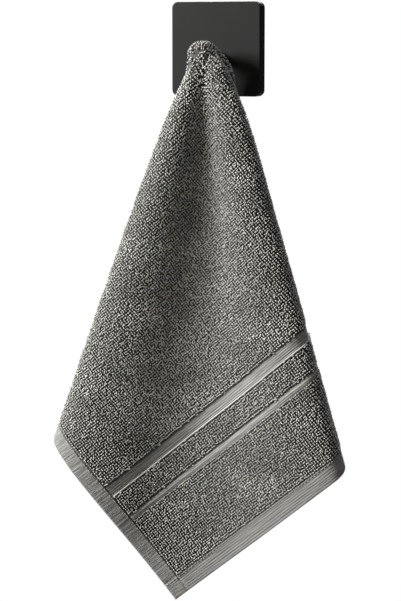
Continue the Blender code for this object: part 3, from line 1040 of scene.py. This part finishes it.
# Painted shade: thin dark lines at the edges of the bands and the ridge, where they meet the terry or
# each other.
SHADED_FURROW_SPANS = (
    (LOWER_BAND[1] - FURROW_WIDTH, LOWER_BAND[1]),
    (RIDGE[0] - FURROW_WIDTH, RIDGE[0] - 0.1),
    (RIDGE[1] + 0.1, RIDGE[1] + 0.5),
    (RIBBED_BAND[1] - FURROW_WIDTH, RIBBED_BAND[1]),
)


def weave_masks(along, across):
    """Masks of the near side hem, of all hems, of the bands and of the painted shade along each furrow.
    """
    soft = CLOTH_MASK_SOFT
    side_hem = 1 - across.past(SIDE_HEM - HEM_MASK_IN, soft)
    end_hem = 1 - along.past(END_HEM - HEM_MASK_IN, soft)
    far_hems = along.past(TOWEL_SIDE - END_HEM, soft) + across.past(TOWEL_SIDE - SIDE_HEM, soft)
    hems = (side_hem + end_hem + far_hems).maths("MINIMUM", 1.0)
    bands = along.between(*LOWER_BAND, soft) + along.between(RIDGE[0], RIBBED_BAND[1], soft)
    furrow_shade = across.between(SIDE_HEM - HEM_FURROW, SIDE_HEM, HEM_FURROW_SOFT) * (1 - end_hem)
    for low, high in SHADED_FURROW_SPANS:
        furrow_shade = furrow_shade + along.between(low, high, FURROW_SOFT) * (1 - side_hem)
    return side_hem, hems, bands, furrow_shade.maths("MINIMUM", 1.0)


# %% [markdown]
# Weft threads cross the whole cloth, so one set of fine, uneven lines marks the bands, the end hem
# and the side hems alike. Off the side hems an even rib is laid over them, wandering a little.

# %% Finish of the flat weave
WEAVE_DARK = grey(0.1, 0.08)
WEAVE_MID = grey(0.215, 0.075)
WEAVE_LIGHT = grey(0.34, 0.07)
# The ridge's colour is a painted highlight, lighter than the threads, as where the raised ridge catches
# the light.
WEAVE_RIDGE_HIGHLIGHT = grey(0.36, 0.07)
MID_SHARE = 0.3
HEM_SHADE = 0.42
# How dark the painted shade in each furrow is.
FURROW_PAINTED_SHADE = 0.8
RIB_SHARE = 0.45
RIB_WANDER = 2.0
THREAD_STRETCH = 0.09
THREAD_SCALE = 0.85
WANDER_SCALE = 0.2
THREAD_LOW, THREAD_HIGH = 0.36, 0.64
RIDGE_MASK_SOFT = 0.15


def weave_threads(made, along, across, side_hem):
    """The tone of the weft threads and ribs, from 0 to 1."""
    stretched = made.node("ShaderNodeCombineXYZ", {}, [along, across * THREAD_STRETCH, 0.0])
    weft = made.noise(stretched, THREAD_SCALE, Detail=3.0, Roughness=0.6)
    wander = made.noise(stretched, WANDER_SCALE)
    ribs = ((along + wander * RIB_WANDER) * (2 * math.pi / CORD_PITCH)).maths("SINE") * 0.5 + 0.5
    lines = made.node("ShaderNodeMapRange", {},
                      {"Value": weft, "From Min": THREAD_LOW, "From Max": THREAD_HIGH})
    ribbed = (1 - side_hem) * RIB_SHARE
    return lines * (1 - ribbed) + ribs * ribbed


def weave_finish():
    made = Finish("flat_weave", 0.86)
    flat = made.node("ShaderNodeUVMap", {"uv_map": "flat"})
    along = made.node("ShaderNodeSeparateXYZ", {}, [flat], output=0) * TOWEL_SIDE
    across = made.node("ShaderNodeSeparateXYZ", {}, [flat], output=1) * TOWEL_SIDE
    side_hem, hems, bands, furrow_shade = weave_masks(along, across)
    tone = weave_threads(made, along, across, side_hem)
    cloth = made.mix(MID_SHARE, made.mix(tone, WEAVE_DARK, WEAVE_LIGHT), WEAVE_MID)
    cloth = made.mix(hems * HEM_SHADE, cloth, WEAVE_DARK)
    # Painted highlight: the ridge is painted in its lighter colour.
    cloth = made.mix(along.between(*RIDGE, RIDGE_MASK_SOFT), cloth, WEAVE_RIDGE_HIGHLIGHT)
    # Painted shade: the ground under the loops and each furrow are mixed towards the shade colour.
    woven = (hems + bands).maths("MINIMUM", 1.0) * (1 - furrow_shade * FURROW_PAINTED_SHADE)
    made.set("Base Color", made.mix(woven, YARN_PAINTED_SHADE, cloth))
    made.set("Sheen Weight", 0.2)
    made.set("Sheen Roughness", COTTON_SHEEN_ROUGHNESS)
    made.bump(tone, strength=0.8, distance=0.0005)
    return made.done()


wear(towel, weave_finish())

# %% [markdown]
# The sewing thread is smoother than the cotton and matches it in colour. Its twist is a very fine
# grain.

# %% Finish of the thread
THREAD_GRAIN = 3000.0


def thread_finish():
    made = Finish("sewing_thread", 0.8)
    twist = made.noise(made.place(), THREAD_GRAIN)
    made.set("Base Color", made.mix(twist, WEAVE_MID, WEAVE_LIGHT))
    made.bump(twist, strength=0.3, distance=0.0001)
    return made.done()


wear(sewing, thread_finish())

# %% [markdown]
# The hook is metal under a matte black powder coat: almost no gloss, with a very fine orange-peel
# grain. Its plate and peg keep the frame's own shapes and only get the finish.

# %% Finish of the hook
COAT_BLACK = grey(0.008, 0.06)
COAT_WORN = grey(0.011, 0.06)
COAT_ROUGHNESS = 0.5
CLOUD_ROUGHNESS = 0.12
GRAIN_SCALE = 1800.0
CLOUD_SCALE = 22.0


def coat_finish():
    made = Finish("powder_coat", COAT_ROUGHNESS)
    place = made.place()
    grain = made.noise(place, GRAIN_SCALE, Detail=2.0)
    cloud = made.noise(place, CLOUD_SCALE, Detail=2.0)
    made.set("Base Color", made.mix(cloud, COAT_BLACK, COAT_WORN))
    made.set("Roughness", cloud * CLOUD_ROUGHNESS + COAT_ROUGHNESS)
    made.set("Specular IOR Level", 0.15)
    made.bump(grain, strength=0.12, distance=0.0001)
    return made.done()


coat = coat_finish()
for name in ("hook_plate", "hook_peg"):
    wear(frame["nodes"][name], coat)

# %% [markdown]
# The studio is plain: a pale floor well below the cloth and an even white surround. The camera sees
# the surround as white, but it lights the cloth only weakly, so that the folds keep their shade.

# %% Floor and surround
FLOOR_Z = -1.2
FLOOR_SIZE = 4.0
SURROUND_SEEN = 1.0
SURROUND_LIT = 0.04

deselect()
bpy.ops.mesh.primitive_plane_add(size=FLOOR_SIZE, location=(0.0, 0.0, FLOOR_Z))
floor = bpy.context.object
floor.name = "studio_floor"
floor_finish = Finish("pale_floor", 0.9)
floor_finish.set("Base Color", grey(0.93))
floor_finish.set("Specular IOR Level", 0.0)
wear(floor, floor_finish.done())

world = bpy.data.worlds.new("studio")
bpy.context.scene.world = world
world.use_nodes = True
surround = world.node_tree.nodes["Background"]
surround.inputs["Color"].default_value = grey(1.0)
rays = world.node_tree.nodes.new("ShaderNodeLightPath")
strength = world.node_tree.nodes.new("ShaderNodeMapRange")
strength.inputs["To Min"].default_value = SURROUND_LIT
strength.inputs["To Max"].default_value = SURROUND_SEEN
world.node_tree.links.new(rays.outputs["Is Camera Ray"], strength.inputs["Value"])
world.node_tree.links.new(strength.outputs["Result"], surround.inputs["Strength"])
bpy.context.scene.view_settings.view_transform = "Standard"

# %% [markdown]
# Three soft lights do the rest. The key stands to the left, because the folds' left flanks are the
# bright ones. A small light above keeps the top of the cloth from going dark, and one behind lights
# the rear folds, which the photo doesn't show.

# %% Lights
Lamp = namedtuple("Lamp", "name place target size power")
TOWEL_MIDDLE = Vector((0.0, -0.03, -0.15))
PEG_MIDDLE = Vector((0.0, -0.03, 0.0))
KEY_AZIMUTH = math.radians(-57.0)
KEY_ELEVATION = math.radians(26.0)
KEY_AWAY = 1.4
key_way = Vector((math.sin(KEY_AZIMUTH), -math.cos(KEY_AZIMUTH), math.tan(KEY_ELEVATION))).normalized()
LAMPS = (
    Lamp("key", TOWEL_MIDDLE + key_way * KEY_AWAY, TOWEL_MIDDLE, 0.45, 60.0),
    Lamp("top", Vector((0.1, -0.35, 1.2)), PEG_MIDDLE, 0.4, 7.5),
    Lamp("back", Vector((-0.3, 1.2, 0.7)), TOWEL_MIDDLE, 0.6, 22.0),
)

for lamp in LAMPS:
    deselect()
    bpy.ops.object.light_add(type="AREA", location=lamp.place)
    light = bpy.context.object
    light.name = lamp.name
    light.data.size = lamp.size
    light.data.energy = lamp.power
    light.visible_camera = False
    light.rotation_euler = (lamp.target - lamp.place).to_track_quat("-Z", "Y").to_euler()
    print(lamp.name, "light of", lamp.power, "W")

# %% [markdown]
# Last, every piece is told which body it moves with, and the frame's own towel is hidden.

parts_of_cloth = front_pile + back_pile + [sewing]
for piece in [towel] + parts_of_cloth:
    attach(piece, "root")
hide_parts("towel")
print("pieces on the root body:", 1 + len(parts_of_cloth))
